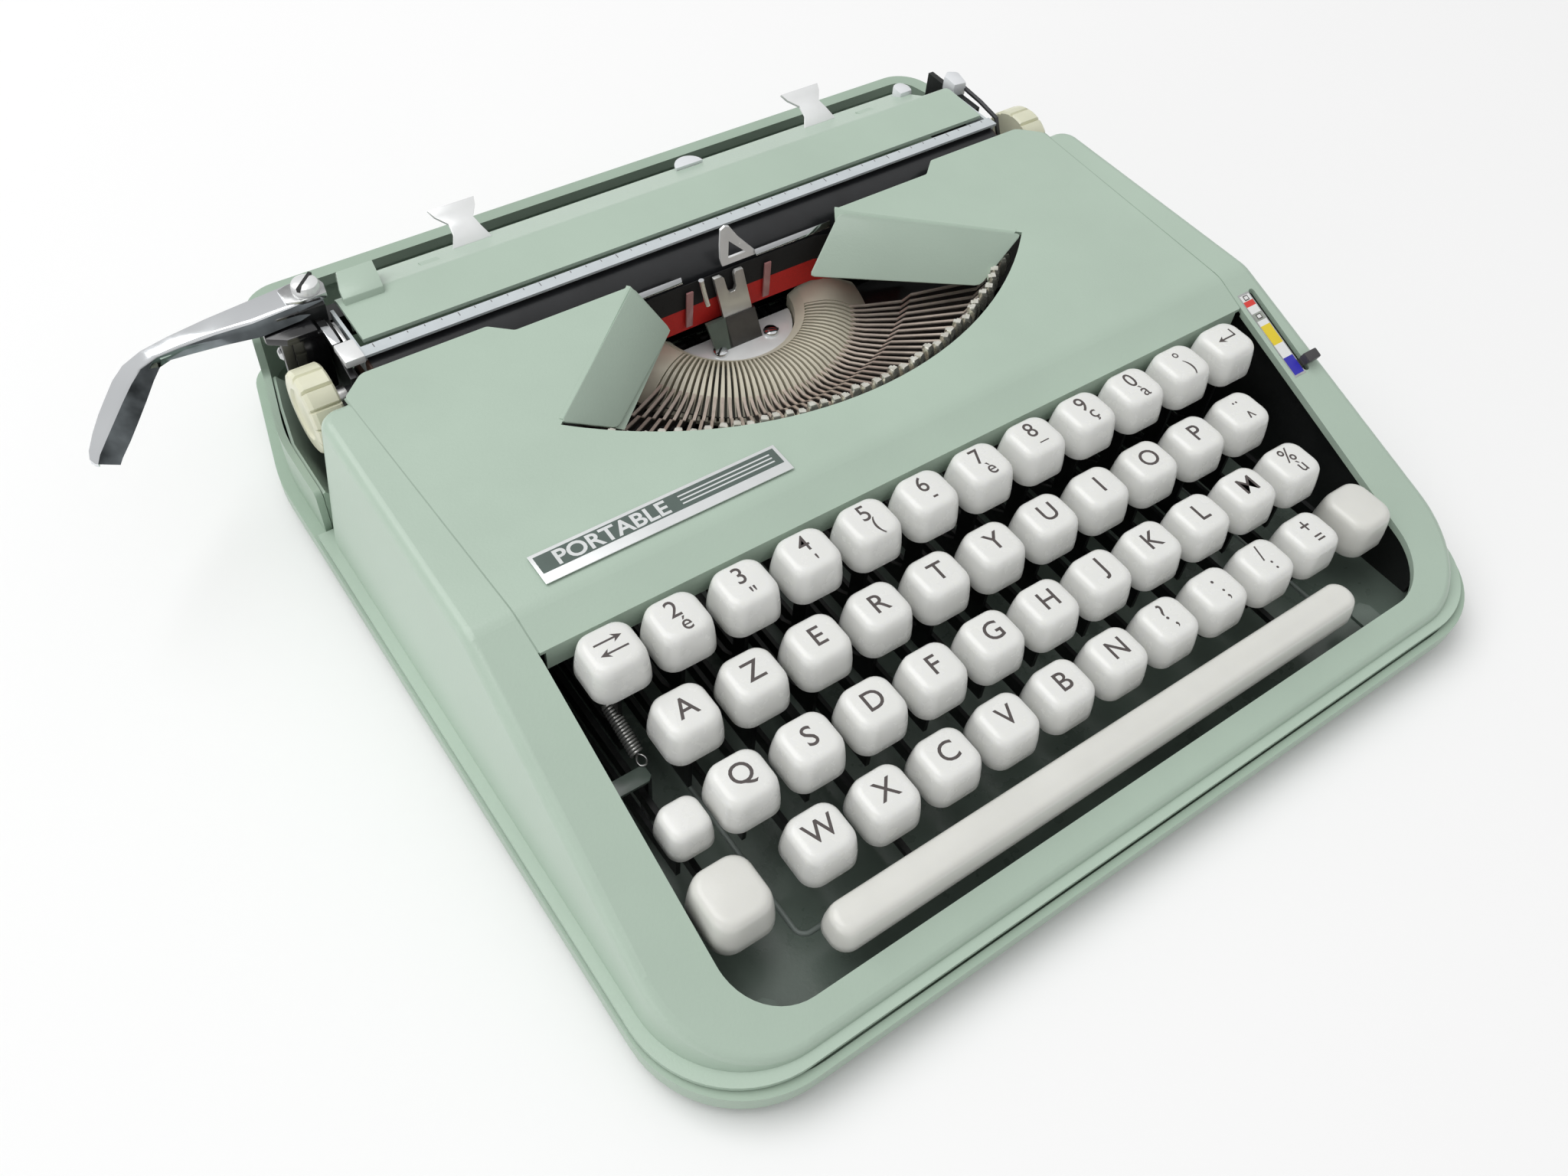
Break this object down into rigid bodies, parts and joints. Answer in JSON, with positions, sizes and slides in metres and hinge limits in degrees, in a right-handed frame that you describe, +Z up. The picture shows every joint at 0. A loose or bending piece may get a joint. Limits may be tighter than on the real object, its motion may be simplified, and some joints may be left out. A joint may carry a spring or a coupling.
{
  "type": "portable typewriter",
  "caption": "Flat portable typewriter with a sage-green shell, white keys on hinged levers, a fan of typebars and a sliding carriage with platen, knobs and return lever.",
  "frame": {"origin": "middle of the bounding box, on the table plane under the four feet", "axes": "+X to the typist's right along the platen, +Y away from the typist, +Z up"},
  "size_m": [0.3276, 0.2766, 0.0648],
  "materials": {
    "sage_tray": "satin sage-green enamel",
    "sage_shell": "satin sage-green enamel",
    "sage_cover": "satin sage-green enamel",
    "black_frame": "black enamel",
    "type_steel": "bright steel with a tan segment",
    "rail_steel": "bright steel",
    "black_carriage": "black enamel",
    "sage_table": "satin sage-green enamel",
    "platen_rubber": "black rubber roller",
    "ivory_knob": "ribbed ivory plastic",
    "chrome_lever": "polished chrome",
    "bail_steel": "bright steel",
    "selector_plastic": "pale plastic",
    "key_white": "white moulded plastic"
  },
  "bodies": {
    "machine": {"base_tray": "sage_tray", "body_shell": "sage_shell", "ribbon_cover": "sage_cover", "lever_frame": "black_frame", "type_basket": "type_steel"},
    "lift_rail": {"carriage_rail": "rail_steel"},
    "carriage": {"carriage_frame": "black_carriage", "paper_table": "sage_table"},
    "platen_roll": {"platen": "platen_rubber", "platen_knobs": "ivory_knob"},
    "return_arm": {"return_lever": "chrome_lever"},
    "bail_arm": {"paper_bail": "bail_steel"},
    "selector": {"color_selector": "selector_plastic"},
    "shift_pair": {"shift_keys": "key_white"},
    "shift_lock": {"shift_lock_key": "key_white"},
    "space_lever": {"space_bar": "key_white"},
    "margin_release_lever": {"margin_release_key": "key_white"},
    "type_2": {"key_2": "key_white"},
    "type_3": {"key_3": "key_white"},
    "type_4": {"key_4": "key_white"},
    "type_5": {"key_5": "key_white"},
    "type_6": {"key_6": "key_white"},
    "type_7": {"key_7": "key_white"},
    "type_8": {"key_8": "key_white"},
    "type_9": {"key_9": "key_white"},
    "type_0": {"key_0": "key_white"},
    "type_degree": {"key_degree": "key_white"},
    "backspace_lever": {"backspace_key": "key_white"},
    "type_a": {"key_a": "key_white"},
    "type_z": {"key_z": "key_white"},
    "type_e": {"key_e": "key_white"},
    "type_r": {"key_r": "key_white"},
    "type_t": {"key_t": "key_white"},
    "type_y": {"key_y": "key_white"},
    "type_u": {"key_u": "key_white"},
    "type_i": {"key_i": "key_white"},
    "type_o": {"key_o": "key_white"},
    "type_p": {"key_p": "key_white"},
    "type_diaeresis": {"key_diaeresis": "key_white"},
    "type_q": {"key_q": "key_white"},
    "type_s": {"key_s": "key_white"},
    "type_d": {"key_d": "key_white"},
    "type_f": {"key_f": "key_white"},
    "type_g": {"key_g": "key_white"},
    "type_h": {"key_h": "key_white"},
    "type_j": {"key_j": "key_white"},
    "type_k": {"key_k": "key_white"},
    "type_l": {"key_l": "key_white"},
    "type_m": {"key_m": "key_white"},
    "type_percent": {"key_percent": "key_white"},
    "type_w": {"key_w": "key_white"},
    "type_x": {"key_x": "key_white"},
    "type_c": {"key_c": "key_white"},
    "type_v": {"key_v": "key_white"},
    "type_b": {"key_b": "key_white"},
    "type_n": {"key_n": "key_white"},
    "type_question": {"key_question": "key_white"},
    "type_semicolon": {"key_semicolon": "key_white"},
    "type_slash": {"key_slash": "key_white"},
    "type_plus": {"key_plus": "key_white"}
  },
  "joints": [
    {"name": "carriage_slide", "type": "slide", "parent": "lift_rail", "child": "carriage", "axis": [1, 0, 0], "range_m": [-0.1, 0.1]},
    {"name": "return_lever_swing", "type": "hinge", "parent": "carriage", "child": "return_arm", "pos_m": [-0.0952, 0.1013, 0.061], "axis": [0, 0, 1], "range_deg": [0, 45]},
    {"name": "platen_turn", "type": "hinge", "parent": "carriage", "child": "platen_roll", "pos_m": [0.0218, 0.0768, 0.0425], "axis": [1, 0, 0], "continuous": true},
    {"name": "paper_bail_lift", "type": "hinge", "parent": "carriage", "child": "bail_arm", "pos_m": [0.0218, 0.0943, 0.051], "axis": [-1, 0, 0], "range_deg": [0, 70]},
    {"name": "carriage_lift", "type": "slide", "parent": "machine", "child": "lift_rail", "axis": [0, 0, 1], "range_m": [0, 0.004]},
    {"name": "shift_press", "type": "hinge", "parent": "machine", "child": "shift_pair", "pos_m": [0.0218, 0.0723, 0.016], "axis": [1, 0, 0], "range_deg": [0, 2.62]},
    {"name": "space_bar_press", "type": "hinge", "parent": "machine", "child": "space_lever", "pos_m": [0.0218, 0.0723, 0.016], "axis": [1, 0, 0], "range_deg": [0, 2.13], "stiffness_Nm_per_rad": 0.6, "springref_deg": -6.88},
    {"name": "color_selector_slide", "type": "slide", "parent": "machine", "child": "selector", "axis": [0, 0.9376, 0.3476], "range_m": [0, 0.018]},
    {"name": "shift_lock_press", "type": "hinge", "parent": "machine", "child": "shift_lock", "pos_m": [0.0218, 0.0723, 0.016], "axis": [1, 0, 0], "range_deg": [0, 1.51], "stiffness_Nm_per_rad": 0.35, "springref_deg": -6.88},
    {"name": "margin_release_press", "type": "hinge", "parent": "machine", "child": "margin_release_lever", "pos_m": [0.0218, 0.0723, 0.016], "axis": [1, 0, 0], "range_deg": [0, 3.99], "stiffness_Nm_per_rad": 0.35, "springref_deg": -6.88},
    {"name": "key_2_press", "type": "hinge", "parent": "machine", "child": "type_2", "pos_m": [0.0218, 0.0723, 0.016], "axis": [1, 0, 0], "range_deg": [0, 3.99], "stiffness_Nm_per_rad": 0.35, "springref_deg": -6.88},
    {"name": "key_3_press", "type": "hinge", "parent": "machine", "child": "type_3", "pos_m": [0.0218, 0.0723, 0.016], "axis": [1, 0, 0], "range_deg": [0, 3.99], "stiffness_Nm_per_rad": 0.35, "springref_deg": -6.88},
    {"name": "key_4_press", "type": "hinge", "parent": "machine", "child": "type_4", "pos_m": [0.0218, 0.0723, 0.016], "axis": [1, 0, 0], "range_deg": [0, 3.99], "stiffness_Nm_per_rad": 0.35, "springref_deg": -6.88},
    {"name": "key_5_press", "type": "hinge", "parent": "machine", "child": "type_5", "pos_m": [0.0218, 0.0723, 0.016], "axis": [1, 0, 0], "range_deg": [0, 3.99], "stiffness_Nm_per_rad": 0.35, "springref_deg": -6.88},
    {"name": "key_6_press", "type": "hinge", "parent": "machine", "child": "type_6", "pos_m": [0.0218, 0.0723, 0.016], "axis": [1, 0, 0], "range_deg": [0, 3.99], "stiffness_Nm_per_rad": 0.35, "springref_deg": -6.88},
    {"name": "key_7_press", "type": "hinge", "parent": "machine", "child": "type_7", "pos_m": [0.0218, 0.0723, 0.016], "axis": [1, 0, 0], "range_deg": [0, 3.99], "stiffness_Nm_per_rad": 0.35, "springref_deg": -6.88},
    {"name": "key_8_press", "type": "hinge", "parent": "machine", "child": "type_8", "pos_m": [0.0218, 0.0723, 0.016], "axis": [1, 0, 0], "range_deg": [0, 3.99], "stiffness_Nm_per_rad": 0.35, "springref_deg": -6.88},
    {"name": "key_9_press", "type": "hinge", "parent": "machine", "child": "type_9", "pos_m": [0.0218, 0.0723, 0.016], "axis": [1, 0, 0], "range_deg": [0, 3.99], "stiffness_Nm_per_rad": 0.35, "springref_deg": -6.88},
    {"name": "key_0_press", "type": "hinge", "parent": "machine", "child": "type_0", "pos_m": [0.0218, 0.0723, 0.016], "axis": [1, 0, 0], "range_deg": [0, 3.99], "stiffness_Nm_per_rad": 0.35, "springref_deg": -6.88},
    {"name": "key_degree_press", "type": "hinge", "parent": "machine", "child": "type_degree", "pos_m": [0.0218, 0.0723, 0.016], "axis": [1, 0, 0], "range_deg": [0, 3.99], "stiffness_Nm_per_rad": 0.35, "springref_deg": -6.88},
    {"name": "backspace_press", "type": "hinge", "parent": "machine", "child": "backspace_lever", "pos_m": [0.0218, 0.0723, 0.016], "axis": [1, 0, 0], "range_deg": [0, 3.99], "stiffness_Nm_per_rad": 0.35, "springref_deg": -6.88},
    {"name": "key_a_press", "type": "hinge", "parent": "machine", "child": "type_a", "pos_m": [0.0218, 0.0723, 0.016], "axis": [1, 0, 0], "range_deg": [0, 3.44], "stiffness_Nm_per_rad": 0.35, "springref_deg": -6.88},
    {"name": "key_z_press", "type": "hinge", "parent": "machine", "child": "type_z", "pos_m": [0.0218, 0.0723, 0.016], "axis": [1, 0, 0], "range_deg": [0, 3.44], "stiffness_Nm_per_rad": 0.35, "springref_deg": -6.88},
    {"name": "key_e_press", "type": "hinge", "parent": "machine", "child": "type_e", "pos_m": [0.0218, 0.0723, 0.016], "axis": [1, 0, 0], "range_deg": [0, 3.44], "stiffness_Nm_per_rad": 0.35, "springref_deg": -6.88},
    {"name": "key_r_press", "type": "hinge", "parent": "machine", "child": "type_r", "pos_m": [0.0218, 0.0723, 0.016], "axis": [1, 0, 0], "range_deg": [0, 3.44], "stiffness_Nm_per_rad": 0.35, "springref_deg": -6.88},
    {"name": "key_t_press", "type": "hinge", "parent": "machine", "child": "type_t", "pos_m": [0.0218, 0.0723, 0.016], "axis": [1, 0, 0], "range_deg": [0, 3.44], "stiffness_Nm_per_rad": 0.35, "springref_deg": -6.88},
    {"name": "key_y_press", "type": "hinge", "parent": "machine", "child": "type_y", "pos_m": [0.0218, 0.0723, 0.016], "axis": [1, 0, 0], "range_deg": [0, 3.44], "stiffness_Nm_per_rad": 0.35, "springref_deg": -6.88},
    {"name": "key_u_press", "type": "hinge", "parent": "machine", "child": "type_u", "pos_m": [0.0218, 0.0723, 0.016], "axis": [1, 0, 0], "range_deg": [0, 3.44], "stiffness_Nm_per_rad": 0.35, "springref_deg": -6.88},
    {"name": "key_i_press", "type": "hinge", "parent": "machine", "child": "type_i", "pos_m": [0.0218, 0.0723, 0.016], "axis": [1, 0, 0], "range_deg": [0, 3.44], "stiffness_Nm_per_rad": 0.35, "springref_deg": -6.88},
    {"name": "key_o_press", "type": "hinge", "parent": "machine", "child": "type_o", "pos_m": [0.0218, 0.0723, 0.016], "axis": [1, 0, 0], "range_deg": [0, 3.44], "stiffness_Nm_per_rad": 0.35, "springref_deg": -6.88},
    {"name": "key_p_press", "type": "hinge", "parent": "machine", "child": "type_p", "pos_m": [0.0218, 0.0723, 0.016], "axis": [1, 0, 0], "range_deg": [0, 3.44], "stiffness_Nm_per_rad": 0.35, "springref_deg": -6.88},
    {"name": "key_diaeresis_press", "type": "hinge", "parent": "machine", "child": "type_diaeresis", "pos_m": [0.0218, 0.0723, 0.016], "axis": [1, 0, 0], "range_deg": [0, 3.44], "stiffness_Nm_per_rad": 0.35, "springref_deg": -6.88},
    {"name": "key_q_press", "type": "hinge", "parent": "machine", "child": "type_q", "pos_m": [0.0218, 0.0723, 0.016], "axis": [1, 0, 0], "range_deg": [0, 3], "stiffness_Nm_per_rad": 0.35, "springref_deg": -6.88},
    {"name": "key_s_press", "type": "hinge", "parent": "machine", "child": "type_s", "pos_m": [0.0218, 0.0723, 0.016], "axis": [1, 0, 0], "range_deg": [0, 3], "stiffness_Nm_per_rad": 0.35, "springref_deg": -6.88},
    {"name": "key_d_press", "type": "hinge", "parent": "machine", "child": "type_d", "pos_m": [0.0218, 0.0723, 0.016], "axis": [1, 0, 0], "range_deg": [0, 3], "stiffness_Nm_per_rad": 0.35, "springref_deg": -6.88},
    {"name": "key_f_press", "type": "hinge", "parent": "machine", "child": "type_f", "pos_m": [0.0218, 0.0723, 0.016], "axis": [1, 0, 0], "range_deg": [0, 3], "stiffness_Nm_per_rad": 0.35, "springref_deg": -6.88},
    {"name": "key_g_press", "type": "hinge", "parent": "machine", "child": "type_g", "pos_m": [0.0218, 0.0723, 0.016], "axis": [1, 0, 0], "range_deg": [0, 3], "stiffness_Nm_per_rad": 0.35, "springref_deg": -6.88},
    {"name": "key_h_press", "type": "hinge", "parent": "machine", "child": "type_h", "pos_m": [0.0218, 0.0723, 0.016], "axis": [1, 0, 0], "range_deg": [0, 3], "stiffness_Nm_per_rad": 0.35, "springref_deg": -6.88},
    {"name": "key_j_press", "type": "hinge", "parent": "machine", "child": "type_j", "pos_m": [0.0218, 0.0723, 0.016], "axis": [1, 0, 0], "range_deg": [0, 3], "stiffness_Nm_per_rad": 0.35, "springref_deg": -6.88},
    {"name": "key_k_press", "type": "hinge", "parent": "machine", "child": "type_k", "pos_m": [0.0218, 0.0723, 0.016], "axis": [1, 0, 0], "range_deg": [0, 3], "stiffness_Nm_per_rad": 0.35, "springref_deg": -6.88},
    {"name": "key_l_press", "type": "hinge", "parent": "machine", "child": "type_l", "pos_m": [0.0218, 0.0723, 0.016], "axis": [1, 0, 0], "range_deg": [0, 3], "stiffness_Nm_per_rad": 0.35, "springref_deg": -6.88},
    {"name": "key_m_press", "type": "hinge", "parent": "machine", "child": "type_m", "pos_m": [0.0218, 0.0723, 0.016], "axis": [1, 0, 0], "range_deg": [0, 3], "stiffness_Nm_per_rad": 0.35, "springref_deg": -6.88},
    {"name": "key_percent_press", "type": "hinge", "parent": "machine", "child": "type_percent", "pos_m": [0.0218, 0.0723, 0.016], "axis": [1, 0, 0], "range_deg": [0, 3], "stiffness_Nm_per_rad": 0.35, "springref_deg": -6.88},
    {"name": "key_w_press", "type": "hinge", "parent": "machine", "child": "type_w", "pos_m": [0.0218, 0.0723, 0.016], "axis": [1, 0, 0], "range_deg": [0, 2.68], "stiffness_Nm_per_rad": 0.35, "springref_deg": -6.88},
    {"name": "key_x_press", "type": "hinge", "parent": "machine", "child": "type_x", "pos_m": [0.0218, 0.0723, 0.016], "axis": [1, 0, 0], "range_deg": [0, 2.68], "stiffness_Nm_per_rad": 0.35, "springref_deg": -6.88},
    {"name": "key_c_press", "type": "hinge", "parent": "machine", "child": "type_c", "pos_m": [0.0218, 0.0723, 0.016], "axis": [1, 0, 0], "range_deg": [0, 2.68], "stiffness_Nm_per_rad": 0.35, "springref_deg": -6.88},
    {"name": "key_v_press", "type": "hinge", "parent": "machine", "child": "type_v", "pos_m": [0.0218, 0.0723, 0.016], "axis": [1, 0, 0], "range_deg": [0, 2.68], "stiffness_Nm_per_rad": 0.35, "springref_deg": -6.88},
    {"name": "key_b_press", "type": "hinge", "parent": "machine", "child": "type_b", "pos_m": [0.0218, 0.0723, 0.016], "axis": [1, 0, 0], "range_deg": [0, 2.68], "stiffness_Nm_per_rad": 0.35, "springref_deg": -6.88},
    {"name": "key_n_press", "type": "hinge", "parent": "machine", "child": "type_n", "pos_m": [0.0218, 0.0723, 0.016], "axis": [1, 0, 0], "range_deg": [0, 2.68], "stiffness_Nm_per_rad": 0.35, "springref_deg": -6.88},
    {"name": "key_question_press", "type": "hinge", "parent": "machine", "child": "type_question", "pos_m": [0.0218, 0.0723, 0.016], "axis": [1, 0, 0], "range_deg": [0, 2.68], "stiffness_Nm_per_rad": 0.35, "springref_deg": -6.88},
    {"name": "key_semicolon_press", "type": "hinge", "parent": "machine", "child": "type_semicolon", "pos_m": [0.0218, 0.0723, 0.016], "axis": [1, 0, 0], "range_deg": [0, 2.68], "stiffness_Nm_per_rad": 0.35, "springref_deg": -6.88},
    {"name": "key_slash_press", "type": "hinge", "parent": "machine", "child": "type_slash", "pos_m": [0.0218, 0.0723, 0.016], "axis": [1, 0, 0], "range_deg": [0, 2.68], "stiffness_Nm_per_rad": 0.35, "springref_deg": -6.88},
    {"name": "key_plus_press", "type": "hinge", "parent": "machine", "child": "type_plus", "pos_m": [0.0218, 0.0723, 0.016], "axis": [1, 0, 0], "range_deg": [0, 2.68], "stiffness_Nm_per_rad": 0.35, "springref_deg": -6.88}
  ],
  "couplings": [
    {"joint": "shift_press", "follows": "carriage_lift", "rad_per_m": 11.345}
  ]
}
